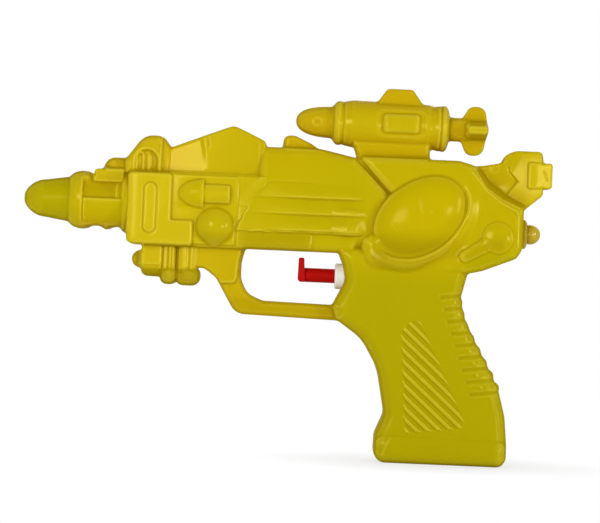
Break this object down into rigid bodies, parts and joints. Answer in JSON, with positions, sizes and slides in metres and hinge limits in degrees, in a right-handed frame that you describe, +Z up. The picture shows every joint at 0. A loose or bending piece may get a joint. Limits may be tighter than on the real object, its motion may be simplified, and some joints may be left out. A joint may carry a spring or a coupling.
{
  "type": "water squirter",
  "caption": "Toy water pistol: a two-half moulded tank body with grip, a sliding sprung trigger that works a piston pump with ball valves, a nozzle jet and a pull-out filler plug.",
  "frame": {"origin": "middle of the hand grip, on the parting plane of the two halves", "axes": "+X along the barrel towards the back, so the muzzle points to -X; +Y to the right half; +Z up from the butt to the scope"},
  "size_m": [0.2102, 0.0372, 0.1488],
  "materials": {
    "yellow_plastic": "satin moulded",
    "red_plastic": "gloss moulded",
    "natural_plastic": "milky, uncoloured",
    "clear_tube": "clear soft tube",
    "black_rubber": "matt",
    "spring_steel": "bright wire",
    "ball_steel": "polished"
  },
  "bodies": {
    "body": {"left_shell": "yellow_plastic", "right_shell": "yellow_plastic", "filler_neck": "yellow_plastic", "neck_gasket": "black_rubber", "nozzle_jet": "natural_plastic", "jet_seal": "black_rubber", "pump_cylinder": "natural_plastic", "pump_gland": "natural_plastic", "gland_seal": "black_rubber", "wall_gasket": "black_rubber", "return_spring": "spring_steel", "inlet_fitting": "natural_plastic", "outlet_fitting": "natural_plastic", "intake_tube": "clear_tube", "outlet_tube": "clear_tube"},
    "trigger": {"trigger": "red_plastic", "piston": "natural_plastic", "piston_ring": "black_rubber"},
    "filler_plug": {"filler_plug": "yellow_plastic"},
    "inlet_ball": {"inlet_ball": "ball_steel"},
    "outlet_ball": {"outlet_ball": "ball_steel"}
  },
  "joints": [
    {"name": "trigger_slide", "type": "slide", "parent": "body", "child": "trigger", "axis": [1, 0, 0], "range_m": [0, 0.01], "stiffness_N_per_m": 300, "springref_m": -0.004, "deforming": ["return_spring"]},
    {"name": "filler_plug_pull", "type": "slide", "parent": "body", "child": "filler_plug", "axis": [1, 0, 0], "range_m": [0, 0.012]},
    {"name": "inlet_ball_lift", "type": "slide", "parent": "body", "child": "inlet_ball", "axis": [0, 0, 1], "range_m": [0, 0.0013]},
    {"name": "outlet_ball_lift", "type": "slide", "parent": "body", "child": "outlet_ball", "axis": [0, 0, 1], "range_m": [0, 0.0013]}
  ]
}
